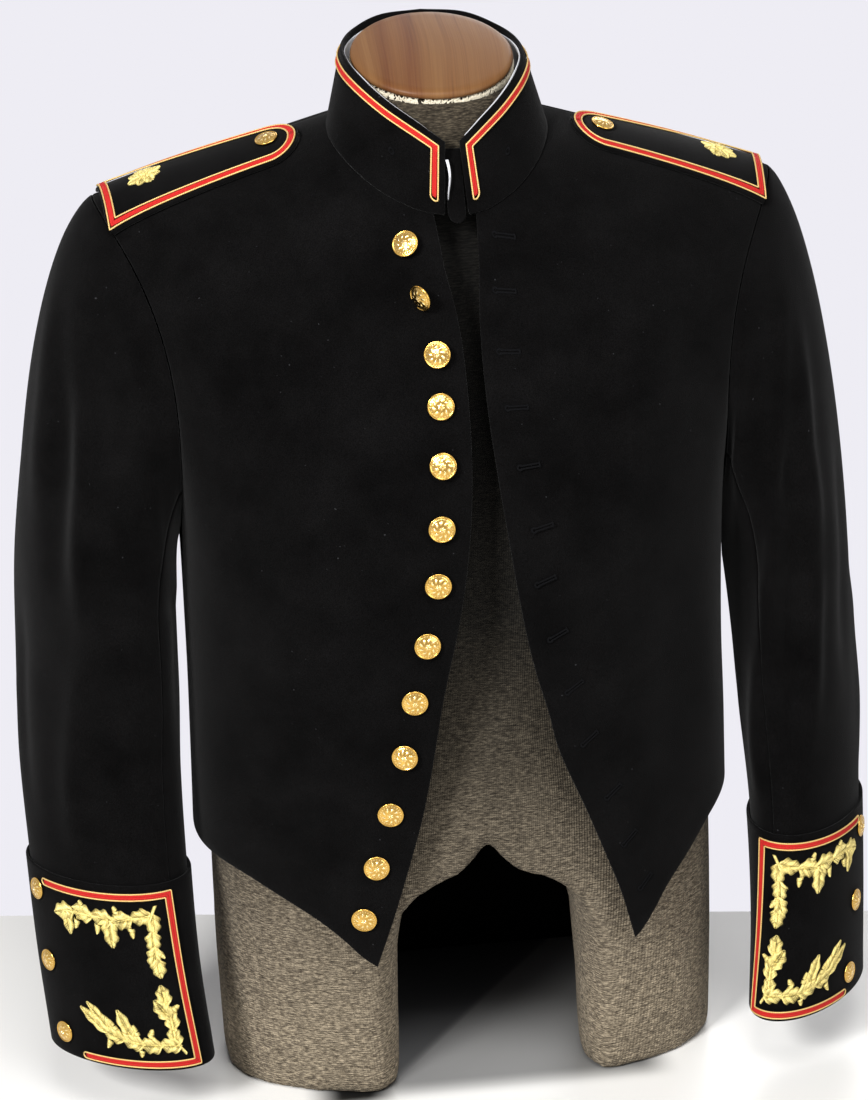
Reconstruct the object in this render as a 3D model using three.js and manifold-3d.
import * as THREE from 'three';
import Module from 'manifold-3d';
import { mergeVertices } from 'three/addons/utils/BufferGeometryUtils.js';

// Short dress uniform jacket worn open on a headless, armless dress form.
// Millimetres, +Z up, the jacket's front faces -Y, the wearer's left is +X.
const wasm = await Module();
wasm.setup();

// Driving sizes
const CLOTH = 1.9;            // wall of the body and sleeve panels
const SEAM = 0.3;             // gap left along each seam
const LIFT = 0.35;            // gap under a piece that lies on another
const ARMPIT = 392;           // height of the underarm point
const HEM_SPAN = 292;         // underarm down to the lowest hem height
const NECK_RISE = 279;        // underarm up to the shoulder ridge at the neck
const ARMHOLE_RISE = 216;     // underarm up to the shoulder tip
const RIDGE_Y = 20;           // the shoulder ridge lies this far behind the middle
const CHEST_DEPTH = 152;
const BACK_DEPTH = 88;
const SIDE_HEM = { right: 180, left: 196 };
const LARGE_BUTTON = 17;
const SMALL_BUTTON = 15;
const BRAID = 5.4;            // width of the scarlet and gold braid
const BRAID_THICK = 1.3;
const COLLAR_WALL = 2.6;
const COLLAR_RING = 182;      // half the collar's length, centre back to front end
const STRAP_THICK = 2.8;
const CUFF_TOP = 172;
const CUFF_BOTTOM = 43;
const CUFF_GROW = 2.7;        // cuff's outer face outside the sleeve's
const FORM_GAP = 0.85;        // form under the jacket's shoulders

// Body sections below the underarm: half width, front and back depth of the cloth
const BODY = [
  { height: 100, half: 186, front: -112, back: 106 },
  { height: 175, half: 183, front: -119, back: 101 },
  { height: 240, half: 181, front: -124, back: 96 },
  { height: 300, half: 179.5, front: -128, back: 96 },
  { height: 350, half: 179, front: -131, back: 101 },
  { height: 392, half: 178, front: -132, back: 108 },
];
// Dress form sections below the underarm
const FORM = [
  { height: 0, half: 172, front: -85, back: 70 },
  { height: 60, half: 173, front: -92, back: 84 },
  { height: 120, half: 173, front: -98, back: 91 },
  { height: 200, half: 171, front: -101, back: 92 },
  { height: 240, half: 165, front: -100, back: 86 },
  { height: 290, half: 158, front: -98, back: 82 },
  { height: 350, half: 166, front: -112, back: 90 },
  { height: 392, half: 170, front: -120, back: 99 },
];
// Free front edges, one row per height, x measured across the body
const FRONT_EDGE = {
  right: [
    { height: 112, x: -70 }, { height: 146, x: -59 }, { height: 180, x: -49 },
    { height: 229, x: -36 }, { height: 293, x: -24 }, { height: 333, x: -17 },
    { height: 364, x: -5 }, { height: 425, x: 1 }, { height: 487, x: 2 },
    { height: 545, x: -1 }, { height: 602, x: -12 },
  ],
  left: [
    { height: 115, x: 103.5 }, { height: 151, x: 94 }, { height: 171, x: 87 },
    { height: 215, x: 71 }, { height: 267, x: 51 }, { height: 297, x: 45 },
    { height: 329, x: 34 }, { height: 372, x: 28 }, { height: 433, x: 20 },
    { height: 485, x: 14 }, { height: 544, x: 12 }, { height: 600, x: 16 },
  ],
};
// Front hems, from the pointed corner to the side seam
const FRONT_HEM = {
  right: [
    { x: 70, height: 112 }, { x: 79, height: 119 }, { x: 94, height: 135 }, { x: 113.5, height: 151 },
    { x: 147, height: 170 }, { x: 167, height: 177 }, { x: 184, height: SIDE_HEM.right },
  ],
  left: [
    { x: 103.5, height: 113 }, { x: 109, height: 118 }, { x: 118, height: 131 }, { x: 128, height: 147 },
    { x: 147, height: 168 }, { x: 162, height: 183 }, { x: 184, height: SIDE_HEM.left },
  ],
};
// The back hem dips to a shallow point at the centre
const BACK_HEM = { middle: 158, curve: 1.5 };
// Seam between side and back panels: its place at the waist and where it meets the armhole
const BACK_SEAM = { across: 0.56, top: 0.26 };

// Collar rings from centre back (share 0) to the front end (share 1)
const COLLAR = [
  { share: 0, baseX: 0, baseY: 48, topX: 0, topY: 60, topZ: 711.5 },
  { share: 0.15, baseX: 29.3, baseY: 43.2, topX: 27, topY: 57, topZ: 709.5 },
  { share: 0.29, baseX: 53, baseY: 29.5, topX: 46.5, topY: 44, topZ: 703.5 },
  { share: 0.41, baseX: 67.1, baseY: 9.1, topX: 56, topY: 20, topZ: 699 },
  { share: 0.54, baseX: 70, baseY: -15, topX: 56.5, topY: -9, topZ: 694 },
  { share: 0.655, baseX: 62.2, baseY: -38, topX: 49.5, topY: -29, topZ: 686 },
  { share: 0.78, baseX: 46, baseY: -58.2, topX: 36, topY: -44.5, topZ: 674 },
  { share: 0.91, baseX: 24.3, baseY: -72, topX: 18.5, topY: -58, topZ: 661.5 },
  { share: 1, baseX: 7.7, baseY: -77, topX: 4.7, topY: -65, topZ: 651 },
];
const COLLAR_TURN = 3.5;      // the collar's front sits this far to the wearer's left
const NECKLINE_IN = 0.94;     // panels run in under the collar's foot

// Sleeve sections from the upper arm down: centre, half widths and turn of the long axis
const SLEEVE = {
  right: [
    { drop: -340, out: 236.5, y: 4, major: 74, minor: 48, turn: 66 },
    { drop: -290, out: 239.5, y: -3, major: 69, minor: 44.5, turn: 54 },
    { drop: -240, out: 242.5, y: -14, major: 64, minor: 41, turn: 45 },
    { drop: -180, out: 242, y: -30, major: 60, minor: 37, turn: 38 },
    { drop: -110, out: 240, y: -46, major: 58, minor: 32, turn: 33 },
    { drop: -44, out: 235, y: -58, major: 58, minor: 28, turn: 30 },
  ],
  left: [
    { drop: -340, out: 228, y: 4, major: 74, minor: 43, turn: 82 },
    { drop: -290, out: 231, y: -3, major: 69, minor: 41, turn: 76 },
    { drop: -240, out: 233.5, y: -14, major: 64, minor: 39, turn: 68 },
    { drop: -180, out: 235, y: -30, major: 59, minor: 35, turn: 61 },
    { drop: -110, out: 234, y: -46, major: 57, minor: 31, turn: 54 },
    { drop: -44, out: 231, y: -58, major: 57, minor: 28, turn: 48 },
  ],
};
const BICEPS = 340;
const SLEEVE_HEM = 44;
const CAP_SHARE = 0.44;       // share of the sleeve's rows above the biceps
const FRONT_ARM_SEAM = 128;   // degrees round the arm, 0 outward, 90 forward
const BACK_ARM_SEAM = -124;

// Front buttons of the right panel: height, distance inside the free edge, and how far
// the button is set in where the panel's flat facets run below its true curve
const FRONT_BUTTONS = [
  { height: 597, inset: 18.5 }, { height: 565, inset: 18.5, setIn: 0.8 }, { height: 531, inset: 16 },
  { height: 500, inset: 17.5 }, { height: 463.5, inset: 18.5, setIn: 1.1 }, { height: 423.5, inset: 20 },
  { height: 386, inset: 21 }, { height: 346, inset: 19 }, { height: 306.5, inset: 18 },
  { height: 268.5, inset: 19 }, { height: 227.5, inset: 21.5 }, { height: 188.5, inset: 21.5 },
  { height: 149.5, inset: 19.5 },
];
// Shoulder strap: rounded inner end, wider square outer end
const STRAP = { tip: 86, tipY: -5, tipHalf: 21, end: 213, endY: 6, endHalf: 28, endSlant: 3 };

const material = (color, roughness, metalness = 0) =>
  new THREE.MeshStandardMaterial({ color, roughness, metalness });
const CLOTH_BLACK = material(0x17181b, 0.93);
const BRAID_SCARLET = material(0xb92028, 0.7);
const GOLD_METAL = material(0xcf9f3f, 0.26, 1);
const BULLION = material(0xd9c07a, 0.5, 0.35);
const JERSEY = material(0x8f877b, 0.95);
const WOOD = material(0x7b4a2f, 0.5);
const WHITE_LINEN = material(0xe9e5db, 0.85);

const rad = THREE.MathUtils.degToRad;
const lerp = THREE.MathUtils.lerp;
const V = (x, y, z) => new THREE.Vector3(x, y, z);
const ease = (t) => THREE.MathUtils.smoothstep(t, 0, 1);
const power = (x, p) => Math.sign(x) * Math.abs(x) ** p;
const steps = (n, from = 0, to = 1) => Array.from({ length: n + 1 }, (_, i) => lerp(from, to, i / n));

// Smooth reading of a table's column at a place along its key column
function read(rows, key, column, at) {
  let i = 0;
  while (i < rows.length - 2 && at >= rows[i + 1][key]) i += 1;
  const slope = (a, b) => (rows[b][column] - rows[a][column]) / (rows[b][key] - rows[a][key]);
  const here = slope(i, i + 1);
  const before = i > 0 ? slope(i - 1, i + 1) : here;
  const after = i + 2 < rows.length ? slope(i, i + 2) : here;
  const span = rows[i + 1][key] - rows[i][key];
  const t = (at - rows[i][key]) / span;
  const t2 = t * t;
  const t3 = t2 * t;
  return (2 * t3 - 3 * t2 + 1) * rows[i][column] + (t3 - 2 * t2 + t) * span * before
    + (3 * t2 - 2 * t3) * rows[i + 1][column] + (t3 - t2) * span * after;
}

// Armhole seam, rise 0 at the underarm and 1 at the shoulder tip
function armhole(rise, front) {
  const middle = RIDGE_Y * rise * rise;
  const bow = Math.sqrt(Math.max(0, 4 * rise * (1 - rise)));
  const z = ARMPIT + ARMHOLE_RISE * rise;
  if (front) return [178 + 41 * rise ** 4 - 4 * Math.sin(Math.PI * rise), middle - 72 * bow, z];
  return [178 + 41 * rise ** 2.5, middle + 63 * bow, z];
}

// Outer face of the body. across: 0 centre line, 1 side seam or armhole.
// up: -1 lowest hem, 0 underarm, 1 shoulder ridge. The x side is the wearer's left.
function bodyPoint(across, up, front, sections = BODY) {
  let side;
  let centreY;
  let centreZ;
  let turn = 90;
  if (up < 0) {
    const z = ARMPIT + HEM_SPAN * up;
    side = [read(sections, 'height', 'half', z), 0, z];
    centreY = read(sections, 'height', front ? 'front' : 'back', z);
    centreZ = z;
  } else {
    const rise = Math.sin(up * Math.PI / 2);
    side = armhole(rise, front);
    centreZ = ARMPIT + NECK_RISE * rise;
    centreY = front ? RIDGE_Y - CHEST_DEPTH * Math.cos(up * Math.PI / 2)
      : RIDGE_Y + BACK_DEPTH * Math.sqrt(Math.max(0, 1 - rise ** 3.2));
    turn = 90 - 35 * ease(up / 0.4);
  }
  const t = rad(turn);
  const fullness = 0.82 + 0.13 * ease(up / 0.5);
  const wide = power(Math.sin(across * t) / Math.sin(t), fullness);
  const deep = Math.max(0, (Math.cos(across * t) - Math.cos(t)) / (1 - Math.cos(t))) ** fullness;
  return V(side[0] * wide, side[1] + (centreY - side[1]) * deep,
    centreZ + (side[2] - centreZ) * Math.abs(wide) ** 1.15);
}

// Outward direction of a surface given by a function of two numbers
function normalOf(surface, a, b, outside) {
  const h = 0.004;
  const da = surface(a + h, b).sub(surface(a - h, b));
  const db = surface(a, b + h).sub(surface(a, b - h));
  const n = da.cross(db).normalize();
  return n.dot(outside) < 0 ? n.negate() : n;
}

function bodyNormal(across, up, front) {
  const a = Math.min(across, 0.985);
  const b = Math.min(up, 0.992);
  return normalOf((p, q) => bodyPoint(p, q, front), a, b, bodyPoint(a, b, front).sub(V(0, 0, 330)));
}

const upOf = (height) => (height < ARMPIT ? (height - ARMPIT) / HEM_SPAN
  : Math.asin(Math.min(1, (height - ARMPIT) / NECK_RISE)) / (Math.PI / 2));

function solve(low, high, below) {
  for (let i = 0; i < 36; i += 1) {
    const mid = (low + high) / 2;
    if (below(mid)) low = mid; else high = mid;
  }
  return (low + high) / 2;
}

const acrossOf = (x, up, front) => solve(-0.3, 1, (m) => bodyPoint(m, up, front).x < x);

// Place on the shoulders straight above a plan point
function onShoulders(x, y) {
  const front = y < RIDGE_Y;
  const side = Math.abs(x);
  const up = solve(0, 1, (m) => (bodyPoint(acrossOf(side, m, front), m, front).y < y) === front);
  const across = acrossOf(side, up, front);
  const point = bodyPoint(across, up, front);
  const normal = bodyNormal(across, up, front);
  if (x < 0) {
    point.x *= -1;
    normal.x *= -1;
  }
  return { point, normal, across, up };
}

// Closed mesh from points and triangles, faces turned outward
function closed(points, triangles) {
  let volume = 0;
  for (const [a, b, c] of triangles) {
    volume += points[a].dot(points[b].clone().cross(points[c]));
  }
  const geometry = new THREE.BufferGeometry();
  const order = volume < 0 ? triangles.map(([a, b, c]) => [a, c, b]) : triangles;
  geometry.setAttribute('position', new THREE.Float32BufferAttribute(points.flatMap((p) => [p.x, p.y, p.z]), 3));
  geometry.setIndex(order.flat());
  return geometry;
}

// Sheet with a wall, from matching grids of outer and inner points (rows of columns)
function shell(outer, inner, round = false) {
  const rows = outer.length;
  const columns = outer[0].length;
  const points = [...outer.flat(), ...inner.flat()];
  const shift = rows * columns;
  const at = (j, i) => j * columns + (i % columns);
  const triangles = [];
  const quad = (a, b, c, d) => triangles.push([a, b, c], [a, c, d]);
  const last = round ? columns : columns - 1;
  for (let j = 0; j < rows - 1; j += 1) {
    for (let i = 0; i < last; i += 1) {
      quad(at(j, i), at(j, i + 1), at(j + 1, i + 1), at(j + 1, i));
      quad(at(j, i) + shift, at(j + 1, i) + shift, at(j + 1, i + 1) + shift, at(j, i + 1) + shift);
    }
  }
  for (let i = 0; i < last; i += 1) {
    quad(at(0, i + 1), at(0, i), at(0, i) + shift, at(0, i + 1) + shift);
    quad(at(rows - 1, i), at(rows - 1, i + 1), at(rows - 1, i + 1) + shift, at(rows - 1, i) + shift);
  }
  if (!round) {
    for (let j = 0; j < rows - 1; j += 1) {
      quad(at(j, 0), at(j + 1, 0), at(j + 1, 0) + shift, at(j, 0) + shift);
      quad(at(j + 1, last), at(j, last), at(j, last) + shift, at(j + 1, last) + shift);
    }
  }
  return closed(points, triangles);
}

const uniform = new THREE.Group();
function add(name, geometry, look) {
  const mesh = new THREE.Mesh(geometry, look);
  mesh.name = name;
  uniform.add(mesh);
  return mesh;
}

// A body panel from rows of [across, up] pairs, on the wearer's left (1) or right (-1)
function panel(name, pairs, front, side) {
  const outer = pairs.map((row) => row.map(([a, b]) => bodyPoint(a, b, front)));
  const inner = pairs.map((row, j) => row.map(([a, b], i) =>
    outer[j][i].clone().addScaledVector(bodyNormal(a, b, front), -CLOTH)));
  for (const p of [...outer.flat(), ...inner.flat()]) p.x *= side;
  add(name, shell(outer, inner), CLOTH_BLACK);
}

// Fronts: rows run from the free edge or the neckline to the side seam or armhole
const SEAM_ACROSS = SEAM / 2 / 230;
const RIDGE_UP = 1 - SEAM / 2 / 228;
function collarFoot(share, side) {
  const x = read(COLLAR, 'share', 'baseX', share) * NECKLINE_IN;
  const y = read(COLLAR, 'share', 'baseY', share);
  return [side * x + COLLAR_TURN * share ** 3, -15 + (y + 15) * NECKLINE_IN];
}
const shareAtRidge = (side) => solve(0, 0.7, (s) => collarFoot(s, side)[1] > RIDGE_Y);

function edgeX(sideName, height) {
  const side = sideName === 'left' ? 1 : -1;
  return side * read(FRONT_EDGE[sideName], 'height', 'x', height);
}

for (const [sideName, side] of [['right', -1], ['left', 1]]) {
  const hem = FRONT_HEM[sideName];
  const lowest = hem[0].height;
  const border = [];
  for (const height of [lowest, 135, 165, 200, 240, 285, 330, 375, 425, 480, 535, 580]) {
    const up = upOf(height);
    border.push([acrossOf(edgeX(sideName, height), up, true), up]);
  }
  // neckline, from the free edge round to the shoulder seam
  const corner = solve(0.7, 1, (s) => side * collarFoot(s, side)[0] > edgeX(sideName, 600));
  for (const share of steps(6, corner, shareAtRidge(side))) {
    const foot = onShoulders(...collarFoot(share, side));
    border.push([foot.across, Math.min(foot.up, RIDGE_UP)]);
  }
  border[border.length - 1][1] = RIDGE_UP;
  const hemUp = (across) => {
    const x = bodyPoint(across, upOf(hem[2].height), true).x;
    return upOf(read(hem, 'x', 'height', Math.max(hem[0].x, x)));
  };
  const start = border[0];
  const pairs = border.map(([across, up]) => {
    const climb = (up - start[1]) / (RIDGE_UP - start[1]);
    return steps(10).map((s) => {
      const edge = 1 - SEAM_ACROSS;
      const foot = hemUp(lerp(start[0], edge, s));
      return [lerp(across, edge, s), lerp(foot, RIDGE_UP, climb)];
    });
  });
  panel(`front_${sideName}`, pairs, true, side);

  // Side and back: the long back seam runs from the hem up into the armhole
  const backHem = (across) => upOf(lerp(SIDE_HEM[sideName], BACK_HEM.middle, (1 - across) ** BACK_HEM.curve));
  const backSeam = (up) => BACK_SEAM.across
    + (1 - BACK_SEAM.across - 0.015) * ease((up + 0.35) / (BACK_SEAM.top + 0.35)) ** 1.6;
  const climbs = steps(11);
  const seamUp = (v) => lerp(backHem(BACK_SEAM.across), BACK_SEAM.top, v);
  const sideRows = climbs.map((v) => steps(3).map((s) => {
    const from = backSeam(seamUp(v)) + SEAM_ACROSS;
    const foot = backHem(lerp(BACK_SEAM.across, 1, s));
    return [lerp(from, 1 - SEAM_ACROSS, s), lerp(foot, BACK_SEAM.top, v)];
  }));
  panel(`side_${sideName}`, sideRows, false, side);

  const lowerRows = climbs.map((v) => steps(7).map((s) => [
    lerp(SEAM_ACROSS, backSeam(seamUp(v)) - SEAM_ACROSS, s),
    lerp(backHem(lerp(0, BACK_SEAM.across, s)), BACK_SEAM.top, v),
  ]));
  const neck = steps(4, 0, shareAtRidge(side)).map((share) => {
    const foot = onShoulders(...collarFoot(share, side));
    return [Math.max(foot.across, SEAM_ACROSS), Math.min(foot.up, RIDGE_UP)];
  });
  neck[neck.length - 1][1] = RIDGE_UP;
  const upperBorder = [...steps(4, BACK_SEAM.top + 0.014, 0.74).map((up) => [SEAM_ACROSS, up]), ...neck];
  const upperRows = upperBorder.map(([across, up]) =>
    steps(7).map((s) => [lerp(across, 1 - SEAM_ACROSS / 2, s), up]));
  const backRows = [...lowerRows, ...upperRows];
  panel(`back_${sideName}`, backRows, false, side);
}

// Sleeves. angle: 0 outward, 90 forward, 180 toward the body
function sleeveRing(sideName, z, angle, grow = 0) {
  const [out, y, major, minor, turn] = ['out', 'y', 'major', 'minor', 'turn']
    .map((column) => read(SLEEVE[sideName], 'drop', column, -z));
  const round = rad(angle) + rad(turn);
  const along = (major + grow) * Math.cos(round);
  const aside = -(minor + grow) * Math.sin(round);
  const c = Math.cos(rad(turn));
  const s = Math.sin(rad(turn));
  return V(out + along * c - aside * s, y + along * s + aside * c, z);
}

const CAP_SWELL = { right: 34, left: 8 };
function sleevePoint(sideName, angle, down) {
  if (down >= CAP_SHARE) {
    return sleeveRing(sideName, lerp(BICEPS, SLEEVE_HEM, (down - CAP_SHARE) / (1 - CAP_SHARE)), angle);
  }
  const t = down / CAP_SHARE;
  const high = (1 + Math.cos(rad(angle))) / 2;
  const fore = Math.sin(rad(angle));
  const from = V(...armhole(high, fore >= 0));
  from.x += SEAM + 0.15;
  const to = sleeveRing(sideName, BICEPS, angle);
  const leave = V(12 + (76 + CAP_SWELL[sideName]) * high, -26 * fore * (1 - 0.3 * high), -28 - 58 * high);
  const arrive = sleeveRing(sideName, BICEPS - 8, angle).sub(to).multiplyScalar((50 + 215 * high) / 8);
  const t2 = t * t;
  const t3 = t2 * t;
  return from.multiplyScalar(2 * t3 - 3 * t2 + 1).addScaledVector(leave, t3 - 2 * t2 + t)
    .addScaledVector(to, 3 * t2 - 2 * t3).addScaledVector(arrive, t3 - t2);
}

function sleeveShell(sideName, side, from, to, columns) {
  const rows = [...steps(7, 0, CAP_SHARE), ...steps(6, CAP_SHARE, 1).slice(1)];
  const angles = steps(columns, from, to);
  const outer = rows.map((w) => angles.map((angle) => sleevePoint(sideName, angle, w)));
  const inner = rows.map((w, j) => angles.map((angle, i) => {
    const centre = w < CAP_SHARE ? V(200, 5, 500 - 200 * w)
      : V(read(SLEEVE[sideName], 'drop', 'out', -outer[j][i].z),
        read(SLEEVE[sideName], 'drop', 'y', -outer[j][i].z), outer[j][i].z);
    const n = normalOf((a, b) => sleevePoint(sideName, a * 100, b), angle / 100,
      Math.min(Math.max(w, 0.004), 0.996), outer[j][i].clone().sub(centre));
    // the seam edge turns in level with the armhole
    if (j === 0) n.setX(0).normalize();
    return outer[j][i].clone().addScaledVector(n, -CLOTH);
  }));
  for (const p of [...outer.flat(), ...inner.flat()]) p.x *= side;
  return shell(outer, inner);
}

const ARM_GAP = 0.24;       // half the gap between the sleeve's two pieces, degrees
for (const [sideName, side] of [['right', -1], ['left', 1]]) {
  add(`sleeve_top_${sideName}`,
    sleeveShell(sideName, side, BACK_ARM_SEAM + ARM_GAP, FRONT_ARM_SEAM - ARM_GAP, 13), CLOTH_BLACK);
  add(`sleeve_under_${sideName}`,
    sleeveShell(sideName, side, FRONT_ARM_SEAM + ARM_GAP, 360 + BACK_ARM_SEAM - ARM_GAP, 6), CLOTH_BLACK);

  // Cuff: a second layer round the sleeve's end
  const cuffRows = steps(3, CUFF_TOP, CUFF_BOTTOM);
  const cuffAngles = steps(28, 0, 360).slice(0, 28);
  const ringAt = (grow) => cuffRows.map((z) => cuffAngles.map((angle) => {
    const p = sleeveRing(sideName, z, angle, grow);
    p.x *= side;
    return p;
  }));
  add(`cuff_${sideName}`, shell(ringAt(CUFF_GROW), ringAt(0.8), true), CLOTH_BLACK);
}

// Collar. along: -1 right front end, 0 centre back, 1 left front end. rise: 0 foot, 1 top
function collarFace(along, rise) {
  const share = Math.abs(along);
  const shift = COLLAR_TURN * share ** 3;
  const column = (name) => read(COLLAR, 'share', name, share);
  const side = Math.sign(along) || 1;
  const x = side * column('baseX') + shift;
  const foot = V(x, column('baseY'), 0);
  foot.z = footHeight(share);
  const top = V(side * column('topX') + shift, column('topY'), column('topZ'));
  return foot.lerp(top, rise);
}
const footTable = steps(24).map((share) => ({
  share,
  height: onShoulders(read(COLLAR, 'share', 'baseX', share), read(COLLAR, 'share', 'baseY', share)).point.z,
}));
const footHeight = (share) => read(footTable, 'share', 'height', share) + LIFT * 1.6;

function collarPoint(along, rise, depth) {
  const p = collarFace(along, rise);
  const near = Math.min(Math.abs(along), 0.99) * (Math.sign(along) || 1);
  const n = normalOf(collarFace, near, Math.min(Math.max(rise, 0.01), 0.99), V(p.x, p.y + 5, 0));
  return p.addScaledVector(n, -depth);
}
const ringSteps = steps(32, -1, 1);
const collarGrid = (depth, from, to, rows) =>
  steps(rows, from, to).map((rise) => ringSteps.map((along) => collarPoint(along, rise, depth)));
// the collar's foot follows the shoulders on its inner edge too
function seated(grid) {
  for (const p of grid[0]) {
    p.z = Math.max(p.z, onShoulders(p.x, p.y).point.z + LIFT * 1.7);
  }
  return grid;
}
add('collar', shell(collarGrid(0, 0, 1, 2), seated(collarGrid(COLLAR_WALL, 0, 1, 2))), CLOTH_BLACK);
const LINER_FROM = 0.5;
const LINER_TO = 1.025;
const LINER_IN = COLLAR_WALL + SEAM + 0.1;
add('collar_liner', shell(collarGrid(LINER_IN, LINER_FROM, LINER_TO, 1),
  collarGrid(LINER_IN + 0.8, LINER_FROM, LINER_TO, 1)), WHITE_LINEN);

// Fastening tongue, hanging behind the collar's open front to below its foot
const TONGUE = { half: 5.5, wall: 1.6, top: 645, topY: -58, bottom: 603, bottomY: -80.5 };
const tongueRow = (share, depth) => {
  const half = TONGUE.half * Math.sqrt(Math.max(0.02, 1 - Math.max(0, (share - 0.86) / 0.14) ** 2));
  return [-1, 0, 1].map((s) => V(COLLAR_TURN + half * s,
    lerp(TONGUE.topY, TONGUE.bottomY, share) + depth, lerp(TONGUE.top, TONGUE.bottom, share)));
};
const tongueShares = [0, 0.3, 0.6, 0.86, 0.91, 0.95, 0.98, 1];
add('collar_tab', shell(tongueShares.map((share) => tongueRow(share, 0)),
  tongueShares.map((share) => tongueRow(share, TONGUE.wall))), CLOTH_BLACK);

// Flat ribbon along a path on a surface, with mitred corners. Open ribbons get round ends
function ribbon(path, place, width, thick, loop = false) {
  const line = path.map(([a, b]) => new THREE.Vector2(a, b));
  const count = line.length;
  const stations = [];
  for (let i = 0; i < count; i += 1) {
    const before = line[loop ? (i + count - 1) % count : Math.max(0, i - 1)];
    const after = line[loop ? (i + 1) % count : Math.min(count - 1, i + 1)];
    const d0 = (loop || i > 0 ? line[i].clone().sub(before) : after.clone().sub(line[i])).normalize();
    const d1 = (loop || i < count - 1 ? after.clone().sub(line[i]) : d0.clone()).normalize();
    const along = d0.clone().add(d1).normalize();
    const half = width / 2 / Math.max(0.5, along.dot(d1));
    stations.push({ at: line[i], along, half });
  }
  if (!loop) {
    const roundEnd = (station, way) => [30, 60, 84].map((angle) => ({
      at: station.at.clone().addScaledVector(station.along, way * width / 2 * Math.sin(rad(angle))),
      along: station.along,
      half: width / 2 * Math.cos(rad(angle)),
    }));
    stations.unshift(...roundEnd(stations[0], -1).reverse());
    stations.push(...roundEnd(stations[stations.length - 1], 1));
  }
  const grid = (lift) => [-1, 1].map((way) => stations.map(({ at, along, half }) =>
    place(at.x - along.y * half * way, at.y + along.x * half * way, lift)));
  return shell(grid(LIFT + thick), grid(LIFT), loop);
}

// Braid path along straight runs, with a point at most every few millimetres
function densify(corners, step, loop = false) {
  const out = [];
  const count = corners.length;
  for (let i = 0; i < count - (loop ? 0 : 1); i += 1) {
    const [ax, ay] = corners[i];
    const [bx, by] = corners[(i + 1) % count];
    const n = Math.max(1, Math.round(Math.hypot(bx - ax, by - ay) / step));
    for (let k = 0; k < n; k += 1) out.push([lerp(ax, bx, k / n), lerp(ay, by, k / n)]);
  }
  if (!loop) out.push(corners[count - 1]);
  return out;
}

// Collar braid: up one front edge, round under the top edge, down the other front edge
const collarSlant = (along) => collarFace(along, 1).distanceTo(collarFace(along, 0));
const onCollar = (s, drop, lift) => {
  const along = THREE.MathUtils.clamp(s / COLLAR_RING, -1, 1);
  return collarPoint(along, 1 - drop / collarSlant(along), -lift);
};
const COLLAR_END = COLLAR_RING - 6;
add('collar_braid', ribbon(densify([[-COLLAR_END, 38], [-COLLAR_END, 7.4], [COLLAR_END, 7.4],
  [COLLAR_END, 38]], 9), onCollar, BRAID, BRAID_THICK), BRAID_SCARLET);

// Buttons: a turned disc with a rolled rim and a domed face
function button(name, diameter, point, normal) {
  const r = diameter / 2;
  const profile = [[0, 0], [0.92, 0], [1, 0.2], [0.86, 0.27], [0.5, 0.38], [0, 0.44]]
    .map(([a, b]) => new THREE.Vector2(a * r, b * r));
  const turned = new THREE.LatheGeometry(profile, 12);
  turned.deleteAttribute('normal');
  turned.deleteAttribute('uv');
  const mesh = add(name, mergeVertices(turned, 1e-3), GOLD_METAL);
  mesh.position.copy(point).addScaledVector(normal, LIFT);
  mesh.quaternion.setFromUnitVectors(V(0, 1, 0), normal);
}
FRONT_BUTTONS.forEach(({ height, inset, setIn = 0 }, i) => {
  const up = upOf(height);
  const across = acrossOf(edgeX('right', height) + inset, up, true);
  const point = bodyPoint(across, up, true);
  const normal = bodyNormal(across, up, true);
  point.x *= -1;
  normal.x *= -1;
  button(`front_button_${i + 1}`, LARGE_BUTTON, point.addScaledVector(normal, -setIn), normal);
});

// Shoulder straps
function strapPlan(run, across, inset) {
  const tip = STRAP.tip + inset;
  const round = STRAP.tipHalf - inset;
  const end = STRAP.end - inset;
  const x = run < 0.25 ? tip + round * (1 - Math.cos(run / 0.25 * Math.PI / 2))
    : lerp(tip + round, end, (run - 0.25) / 0.75);
  const wide = lerp(STRAP.tipHalf, STRAP.endHalf, Math.max(0, (x - tip - round) / (end - tip - round))) - inset;
  const half = run < 0.25 ? round * Math.sin(Math.max(0.04, run / 0.25) * Math.PI / 2) : wide;
  const centre = lerp(STRAP.tipY, STRAP.endY, (x - tip) / (end - tip));
  const slant = STRAP.endSlant * across * Math.max(0, (run - 0.6) / 0.4);
  return [x + slant, centre + across * half];
}
const strapSpot = (side) => (x, y, lift) => {
  const { point, normal } = onShoulders(side * x, y);
  return point.addScaledVector(normal, lift);
};
const strapRuns = [0, 0.06, 0.14, ...steps(6, 0.25, 1)];
const strapAcross = steps(6, -1, 1);
const STRAP_LIFT = 0.65;

// Leaf badge: a flat lobed rosette with a raised middle
function rosette(radius, lobes) {
  const count = lobes * 4;
  const ring = (share, z) => steps(count).slice(0, count).map((t) => {
    const r = radius * share * (1 - 0.15 * (1 - Math.cos(t * lobes * 2 * Math.PI)) / 2);
    return V(r * Math.cos(t * 2 * Math.PI), r * Math.sin(t * 2 * Math.PI), z);
  });
  const points = [...ring(1, 0), ...ring(1, 0.9), ...ring(0.45, 2.2), V(0, 0, 2.5), V(0, 0, 0)];
  const triangles = [];
  for (let i = 0; i < count; i += 1) {
    const k = (i + 1) % count;
    for (const level of [0, count]) {
      triangles.push([i + level, k + level, k + level + count], [i + level, k + level + count, i + level + count]);
    }
    triangles.push([i + 2 * count, k + 2 * count, 3 * count], [k, i, 3 * count + 1]);
  }
  return closed(points, triangles);
}

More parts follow.
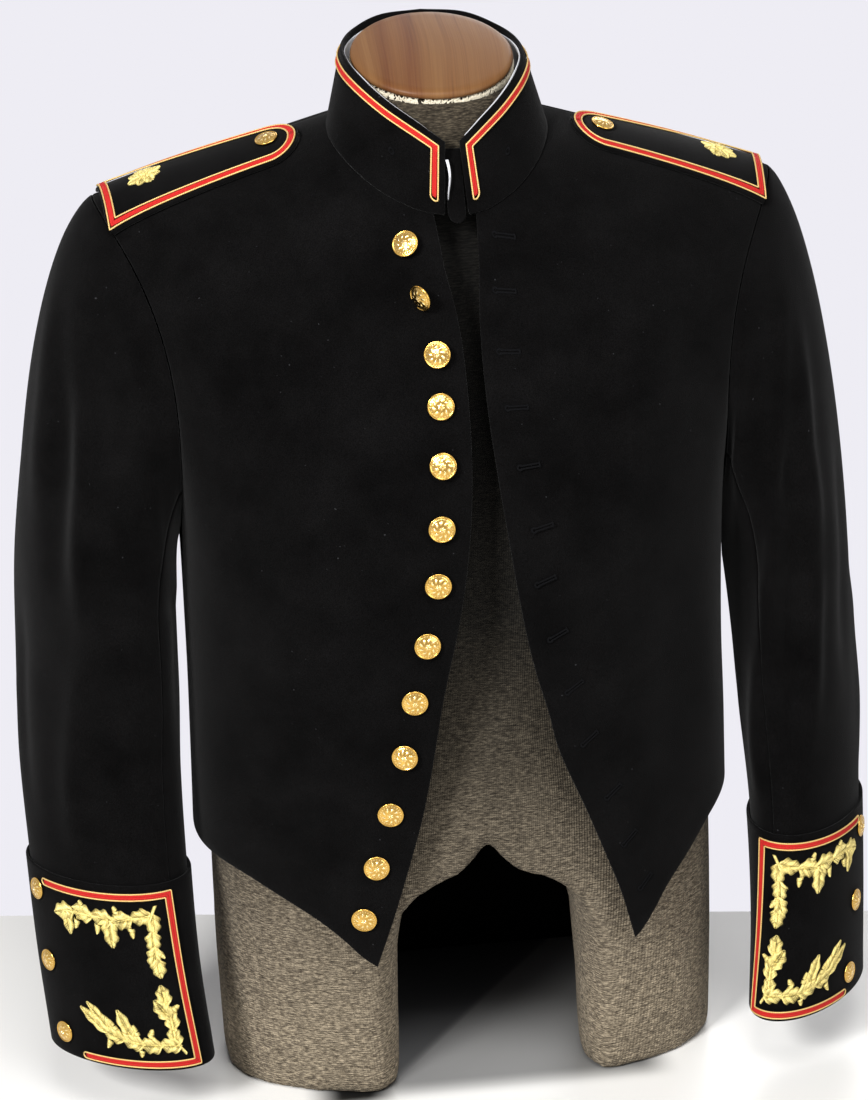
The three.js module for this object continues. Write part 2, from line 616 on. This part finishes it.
for (const [sideName, side] of [['right', -1], ['left', 1]]) {
  const spot = strapSpot(side);
  const grid = (lift) => strapRuns.map((run) => strapAcross.map((across) =>
    spot(...strapPlan(run, across, 0), lift)));
  add(`strap_${sideName}`, shell(grid(STRAP_LIFT + STRAP_THICK), grid(STRAP_LIFT)), CLOTH_BLACK);
  const inset = BRAID / 2 + 1.6;
  const edgePath = [
    ...strapRuns.map((run) => strapPlan(run, -1, inset)),
    ...steps(4, -0.6, 0.6).map((across) => strapPlan(1, across, inset)),
    ...strapRuns.slice(1).reverse().map((run) => strapPlan(run, 1, inset)),
  ];
  add(`strap_braid_${sideName}`, ribbon(edgePath, (x, y, lift) => spot(x, y, lift + STRAP_LIFT + STRAP_THICK + 0.5),
    BRAID, BRAID_THICK, true), BRAID_SCARLET);
  const onTop = (x, y) => {
    const { point, normal } = onShoulders(side * x, y);
    return { point: point.addScaledVector(normal, STRAP_LIFT + STRAP_THICK + 0.2), normal };
  };
  const stud = onTop(106, -2);
  button(`strap_button_${sideName}`, SMALL_BUTTON, stud.point, stud.normal);
  const badge = onTop(184, 10);
  const leaf = add(`strap_leaf_${sideName}`, rosette(12, 8), BULLION);
  leaf.position.copy(badge.point).addScaledVector(badge.normal, LIFT);
  leaf.quaternion.setFromUnitVectors(V(0, 0, 1), badge.normal);
}

// Cuff trim is laid out flat: s runs from the inner front edge round to the back, z is height
const TRIM_FROM = { right: 158, left: 198 };  // degrees round the cuff's oval, 90 its broad face
function cuffSpot(sideName, side) {
  const oval = steps(56, TRIM_FROM[sideName], -8).map((angle) => ({ angle, s: 0 }));
  const at = (angle, z, grow) => {
    const turn = read(SLEEVE[sideName], 'drop', 'turn', -z);
    return sleeveRing(sideName, z, angle - turn, grow);
  };
  for (let i = 1; i < oval.length; i += 1) {
    oval[i].s = oval[i - 1].s + at(oval[i].angle, 110, CUFF_GROW).distanceTo(at(oval[i - 1].angle, 110, CUFF_GROW));
  }
  return (s, z, lift) => {
    const p = at(read(oval, 's', 'angle', s), z, CUFF_GROW + lift);
    p.x *= side;
    return p;
  };
}

// Solid for joining, from a geometry with only positions
function toSolid(geometry) {
  geometry.deleteAttribute('normal');
  geometry.deleteAttribute('uv');
  const merged = mergeVertices(geometry, 1e-4);
  return new wasm.Manifold(new wasm.Mesh({
    numProp: 3,
    vertProperties: new Float32Array(merged.attributes.position.array),
    triVerts: new Uint32Array(merged.index.array),
  }));
}
function fromSolid(solid) {
  const mesh = solid.getMesh();
  const points = [];
  for (let i = 0; i < mesh.vertProperties.length; i += mesh.numProp) {
    points.push(V(mesh.vertProperties[i], mesh.vertProperties[i + 1], mesh.vertProperties[i + 2]));
  }
  const triangles = [];
  for (let i = 0; i < mesh.triVerts.length; i += 3) {
    triangles.push([mesh.triVerts[i], mesh.triVerts[i + 1], mesh.triVerts[i + 2]]);
  }
  return { points, triangles };
}

// Split every edge longer than a limit, so a flat piece can bend round the cuff
function divide({ points, triangles }, limit) {
  for (let pass = 0; pass < 4; pass += 1) {
    const middles = new Map();
    const middle = (a, b) => {
      if (points[a].distanceTo(points[b]) <= limit) return -1;
      const key = a < b ? `${a}_${b}` : `${b}_${a}`;
      if (!middles.has(key)) {
        middles.set(key, points.length);
        points.push(points[a].clone().lerp(points[b], 0.5));
      }
      return middles.get(key);
    };
    const next = [];
    for (const [a, b, c] of triangles) {
      const m = [middle(a, b), middle(b, c), middle(c, a)];
      const cut = m.filter((k) => k >= 0).length;
      if (cut === 0) next.push([a, b, c]);
      else if (cut === 3) next.push([a, m[0], m[2]], [m[0], b, m[1]], [m[2], m[1], c], [m[0], m[1], m[2]]);
      else {
        // turn the corners so that the cut sides come first
        const turn = cut === 1 ? m.findIndex((k) => k >= 0) : (m.findIndex((k) => k < 0) + 1) % 3;
        const p = [a, b, c];
        const [u, v, w] = [p[turn], p[(turn + 1) % 3], p[(turn + 2) % 3]];
        const first = m[turn];
        if (cut === 1) next.push([u, first, w], [first, v, w]);
        else {
          const second = m[(turn + 1) % 3];
          next.push([first, v, second], [u, first, second], [u, second, w]);
        }
      }
    }
    triangles = next;
    if (middles.size === 0) break;
  }
  return { points, triangles };
}

// Embroidered leaf with a raised mid rib, flat on the plan, tip along its own angle
const LEAF = [[0, 0], [0.28, 0.46], [0.7, 0.4], [1, 0], [0.7, -0.4], [0.28, -0.46]];
const ACORN = [[0, -0.18], [0, 0.18], [0.55, 0.5], [1, 0.2], [1, -0.2], [0.55, -0.5]];
function leafSolid({ s, z, angle, long, wide }) {
  const outline = wide < 5 ? ACORN : LEAF;
  const c = Math.cos(rad(angle));
  const d = Math.sin(rad(angle));
  const spot = (a, b, h) => V(s + a * long * c - b * wide * d, z + a * long * d + b * wide * c, h);
  const n = outline.length;
  const points = [
    ...outline.map(([a, b]) => spot(a, b, 0)), ...outline.map(([a, b]) => spot(a, b, 0.7)),
    spot(0.5, 0, 1.5),
  ];
  const triangles = [];
  for (let i = 0; i < n; i += 1) {
    const k = (i + 1) % n;
    triangles.push([i, k, k + n], [i, k + n, i + n], [i + n, k + n, 2 * n]);
    if (i > 0 && i < n - 1) triangles.push([0, i + 1, i]);
  }
  return toSolid(closed(points, triangles));
}

// Oak sprays on the cuffs, s and z in the flat layout. Short narrow rows are acorns
const SPRAY_STEM = 2.2;
const SPRAYS = {
  upper: {
    stem: [[13, 113], [12.5, 145], [17, 150], [77, 150]],
    leaves: [
      { s: 66, z: 151, angle: -15, long: 18, wide: 10 }, { s: 73, z: 151, angle: -94, long: 17, wide: 8 },
      { s: 52, z: 149, angle: 15, long: 16, wide: 10 }, { s: 38, z: 148, angle: 11, long: 16, wide: 10 },
      { s: 41, z: 149, angle: -90, long: 20, wide: 9 }, { s: 25, z: 150, angle: -12, long: 15, wide: 10 },
      { s: 12, z: 152, angle: -8, long: 15, wide: 9 }, { s: 12, z: 153, angle: -90, long: 15, wide: 8 },
      { s: 13, z: 141, angle: -84, long: 15, wide: 8 }, { s: 12.5, z: 130, angle: -72, long: 15, wide: 8 },
      { s: 13.5, z: 122, angle: -92, long: 14, wide: 8 },
      { s: 57, z: 152, angle: 67, long: 8, wide: 4 }, { s: 63, z: 150, angle: -73, long: 11, wide: 4 },
      { s: 48, z: 149, angle: -78, long: 11, wide: 4 }, { s: 33, z: 151, angle: 67, long: 8, wide: 4 },
      { s: 27, z: 148, angle: -96, long: 11, wide: 4 }, { s: 14, z: 129, angle: -130, long: 9, wide: 4 },
      { s: 13, z: 150, angle: 117, long: 9, wide: 2 },
    ],
  },
  lower: {
    stem: [[13, 99], [12, 67], [16, 61.5], [42, 63], [64, 74]],
    leaves: [
      { s: 13.5, z: 89, angle: 87, long: 15, wide: 8 }, { s: 12.5, z: 80, angle: 60, long: 16, wide: 9 },
      { s: 12, z: 72, angle: 92, long: 16, wide: 8 }, { s: 12, z: 60, angle: 88, long: 15, wide: 8 },
      { s: 9, z: 60.5, angle: 6, long: 15, wide: 9 }, { s: 22, z: 61.5, angle: 0, long: 15, wide: 10 },
      { s: 34, z: 61.5, angle: 17, long: 16, wide: 10 }, { s: 47, z: 64, angle: 25, long: 17, wide: 9 },
      { s: 58, z: 68, angle: 40, long: 24, wide: 7 }, { s: 54, z: 69, angle: 50, long: 25, wide: 7 },
      { s: 41, z: 64, angle: 73, long: 23, wide: 8 },
      { s: 49, z: 67, angle: 58, long: 13, wide: 4 }, { s: 36, z: 64, angle: 76, long: 12, wide: 4 },
      { s: 30, z: 63, angle: 112, long: 11, wide: 4 }, { s: 36, z: 61, angle: -83, long: 8, wide: 4 },
      { s: 55, z: 67, angle: -62, long: 11, wide: 4 }, { s: 12, z: 83, angle: 140, long: 9, wide: 4 },
      { s: 12, z: 63, angle: -122, long: 10, wide: 2 },
    ],
  },
};
function spray({ stem, leaves }) {
  const flat = ribbon(densify(stem, 10), (s, z, lift) => V(s, z, lift < 1 ? 0 : 0.9), SPRAY_STEM, 1);
  let joined = toSolid(flat);
  for (const leaf of leaves) joined = joined.add(leafSolid(leaf));
  return divide(fromSolid(joined), 12);
}

const CUFF_BUTTONS = {
  right: [{ s: 99, z: 157 }, { s: 99, z: 109 }, { s: 96, z: 60 }],
  left: [{ s: 91, z: 157 }, { s: 87, z: 109 }, { s: 85, z: 60 }],
};
const BRAID_RAISE = 0.6;      // flat lengths of braid clear the curve of the cuff
const CUFF_BAND = { top: 7, bottom: 5.2, topRun: { right: 88, left: 82 }, bottomRun: 79 };
for (const [sideName, side] of [['right', -1], ['left', 1]]) {
  const spot = cuffSpot(sideName, side);
  const high = CUFF_TOP - CUFF_BAND.top;
  const low = CUFF_BOTTOM + CUFF_BAND.bottom;
  const corners = [[CUFF_BAND.topRun[sideName], high], [0, high], [0, low], [CUFF_BAND.bottomRun, low]];
  const raised = (s, z, lift) => spot(s, z, lift + BRAID_RAISE);
  add(`cuff_braid_${sideName}`, ribbon(densify(corners, 8), raised, BRAID, BRAID_THICK), BRAID_SCARLET);
  for (const [level, rows] of Object.entries(SPRAYS)) {
    const { points, triangles } = spray(rows);
    const bent = points.map((p) => spot(p.x, p.y, LIFT + 0.5 + p.z));
    add(`cuff_leaves_${level}_${sideName}`, closed(bent, triangles), BULLION);
  }
  for (const [i, { s, z }] of CUFF_BUTTONS[sideName].entries()) {
    const along = spot(s + 1, z, 0).sub(spot(s - 1, z, 0));
    const normal = along.cross(spot(s, z + 1, 0).sub(spot(s, z - 1, 0))).normalize();
    if (normal.x * side < 0) normal.negate();
    button(`cuff_button_${sideName}_${i + 1}`, SMALL_BUTTON, spot(s, z, 0.1), normal);
  }
}

// Dress form: torso with shoulder ends, short thigh stumps either side of an arch, and neck
const FORM_EDGE = 0.035;      // the form stops short of the armhole
const FORM_DEEP = { side: 8, front: 12, back: 9 };
function formPoint(across, up, front) {
  if (up <= 0) return bodyPoint(across, up - 1e-9, front, FORM);
  const a = across * (1 - FORM_EDGE * Math.min(1, up / 0.08));
  const low = lerp(FORM_DEEP.side, front ? FORM_DEEP.front : FORM_DEEP.back, Math.cos(a * Math.PI / 2));
  const depth = lerp(low, CLOTH + FORM_GAP, ease(up / 0.97));
  return bodyPoint(a, up, front).addScaledVector(bodyNormal(a, up, front), -depth);
}
function formBody() {
  const columns = steps(7);
  const lowUps = [0, 40, 85, 130, 175, 220, 265, 300, 350].map(upOf);
  const highUps = [0, 0.08, 0.2, 0.34, 0.48, 0.62, 0.76, 0.88, 0.96, 1];
  const points = [];
  const triangles = [];
  const put = (p) => points.push(p) - 1;
  const strip = (grid, outward) => {
    for (let j = 0; j < grid.length - 1; j += 1) {
      for (let i = 0; i < grid[j].length - 1; i += 1) {
        const [a, b, c, d] = [grid[j][i], grid[j][i + 1], grid[j + 1][i + 1], grid[j + 1][i]];
        triangles.push(...(outward ? [[a, b, c], [a, c, d]] : [[a, c, b], [a, d, c]]));
      }
    }
  };
  const half = (up, front, side) => columns.map((across) => {
    const p = formPoint(across, up, front || up === 1);
    p.x *= side;
    return put(p);
  });
  const ends = {};
  for (const side of [-1, 1]) {
    for (const front of [true, false]) {
      const grid = [...lowUps.map((up) => half(up, front, side)), ...highUps.map((up) => half(up, front, side))];
      strip(grid, (side > 0) === front);
      ends[`${side}${front}`] = grid.slice(lowUps.length).map((row) => row[row.length - 1]);
      ends[`floor${side}${front}`] = grid[0];
    }
    // shoulder end
    const loop = [...ends[`${side}true`], ...ends[`${side}false`].slice(1, -1).reverse()];
    const hub = put(V(side * 186, 6, 500));
    loop.forEach((a, i) => {
      const b = loop[(i + 1) % loop.length];
      triangles.push(side > 0 ? [b, a, hub] : [a, b, hub]);
    });
  }
  // underside
  const rim = [
    ...ends['floor1true'], ...[...ends['floor1false']].reverse().slice(1),
    ...ends['floor-1false'].slice(1), ...[...ends['floor-1true']].reverse().slice(1, -1),
  ];
  const hub = put(V(0, 0, 0));
  rim.forEach((a, i) => triangles.push([rim[(i + 1) % rim.length], a, hub]));
  return closed(points, triangles);
}

const CAP_PLANE = { y: 3, z: 689.5, slope: 0.343 };
const NECK = { bottom: 592, bottomY: -20, bottomWide: 55, bottomDeep: 44, wide: 51, deep: 50 };
function neckGeometry() {
  const count = 24;
  const ring = (wide, deep, y, height) => steps(count).slice(0, count).map((t) => {
    const py = y + deep * Math.cos(t * 2 * Math.PI);
    return V(wide * Math.sin(t * 2 * Math.PI), py, height(py));
  });
  const level = (y) => CAP_PLANE.z + CAP_PLANE.slope * (y - CAP_PLANE.y);
  const lower = ring(NECK.bottomWide, NECK.bottomDeep, NECK.bottomY, () => NECK.bottom);
  const upper = ring(NECK.wide, NECK.deep, CAP_PLANE.y, level);
  const points = [...lower, ...upper, V(0, NECK.bottomY, NECK.bottom), V(0, CAP_PLANE.y, CAP_PLANE.z)];
  const triangles = [];
  for (let i = 0; i < count; i += 1) {
    const k = (i + 1) % count;
    triangles.push([i, i + count, k + count], [i, k + count, k]);
    triangles.push([i, k, 2 * count], [k + count, i + count, 2 * count + 1]);
  }
  return closed(points, triangles);
}
// Arch between the stumps, cut through from front to back, with a pointed notch at its top.
// The stumps are oval, so it widens toward the front and back lower down
const ARCH = [
  { z: -10, half: 63, flare: 30, middle: 10 }, { z: 50, half: 62.5, flare: 27, middle: 10 },
  { z: 105, half: 61, flare: 16, middle: 10 }, { z: 138, half: 55, flare: 8, middle: 9 },
  { z: 154, half: 44, flare: 3, middle: 8 }, { z: 163, half: 31, flare: 0, middle: 7 },
  { z: 167, half: 20, flare: 0, middle: 7 }, { z: 178, half: 9, flare: 0, middle: 7 },
  { z: 190, half: 0.4, flare: 0, middle: 7 },
];
const STUMP_NEAREST = -50;    // the stumps come closest together at this depth
function archGeometry() {
  const depths = [-150, -92, -80, -66, STUMP_NEAREST, -10, 30, 70, 110, 150];
  const ring = ({ z, half, flare, middle }) => {
    const side = (way) => depths.map((y) => {
      const ahead = Math.min(1.4, Math.max(0, (STUMP_NEAREST - y) / 42)) ** 2.2;
      const behind = Math.max(0, (y - STUMP_NEAREST) / 120) ** 1.5 * 0.75;
      return V(middle + way * (half + flare * (ahead + behind)), y, z);
    });
    return [...side(1), ...side(-1).reverse()];
  };
  const rings = ARCH.map(ring);
  const count = rings[0].length;
  const points = [...rings.flat(), V(ARCH[0].middle, 0, ARCH[0].z), V(ARCH.at(-1).middle, 0, ARCH.at(-1).z)];
  const triangles = [];
  const top = (rings.length - 1) * count;
  for (let i = 0; i < count; i += 1) {
    const k = (i + 1) % count;
    for (let j = 0; j < top; j += count) {
      triangles.push([i + j, k + j, k + j + count], [i + j, k + j + count, i + j + count]);
    }
    triangles.push([k, i, top + count], [i + top, k + top, top + count + 1]);
  }
  return closed(points, triangles);
}
const torso = toSolid(formBody()).add(toSolid(neckGeometry())).subtract(toSolid(archGeometry()));
const torsoMesh = fromSolid(torso);
add('torso_form', closed(torsoMesh.points, torsoMesh.triangles), JERSEY);

// Wooden cap on the sloping neck top, slightly domed
function neckCap() {
  const count = 24;
  const levels = [{ share: 1, rise: 0 }, { share: 1.02, rise: 1.2 }, { share: 1, rise: 5 }, { share: 0.6, rise: 7 }];
  const tilt = Math.atan(CAP_PLANE.slope);
  const place = (x, y, rise) => V(x, y, rise).applyAxisAngle(V(1, 0, 0), tilt)
    .add(V(0, CAP_PLANE.y, CAP_PLANE.z + 0.4));
  const points = levels.flatMap(({ share, rise }) => steps(count).slice(0, count).map((t) =>
    place((NECK.wide - 0.5) * share * Math.sin(t * 2 * Math.PI),
      (NECK.deep + 2) * share * Math.cos(t * 2 * Math.PI), rise)));
  points.push(place(0, 0, 0), place(0, 0, 7.6));
  const triangles = [];
  for (let i = 0; i < count; i += 1) {
    const k = (i + 1) % count;
    for (let level = 0; level < 3; level += 1) {
      const [a, b] = [level * count, (level + 1) * count];
      triangles.push([i + a, i + b, k + b], [i + a, k + b, k + a]);
    }
    triangles.push([i, k, 4 * count], [k + 3 * count, i + 3 * count, 4 * count + 1]);
  }
  return closed(points, triangles);
}
add('neck_cap', neckCap(), WOOD);

// The shoulders stand a little higher on the wearer's right
const LEAN = -0.016;
const lean = (x, z) => z + LEAN * x * ease((z - ARMPIT) / ARMHOLE_RISE);
for (const mesh of uniform.children) {
  if (mesh.position.lengthSq() > 0) {
    mesh.position.z = lean(mesh.position.x, mesh.position.z);
  } else {
    const place = mesh.geometry.attributes.position;
    for (let i = 0; i < place.count; i += 1) place.setZ(i, lean(place.getX(i), place.getZ(i)));
  }
}

// Stand the whole on its footprint's centre
uniform.updateMatrixWorld(true);
const box = new THREE.Box3().setFromObject(uniform);
const jacketOnForm = new THREE.Group();
uniform.position.set(-(box.min.x + box.max.x) / 2, -(box.min.y + box.max.y) / 2, -box.min.z);
jacketOnForm.add(uniform);

export default jacketOnForm;
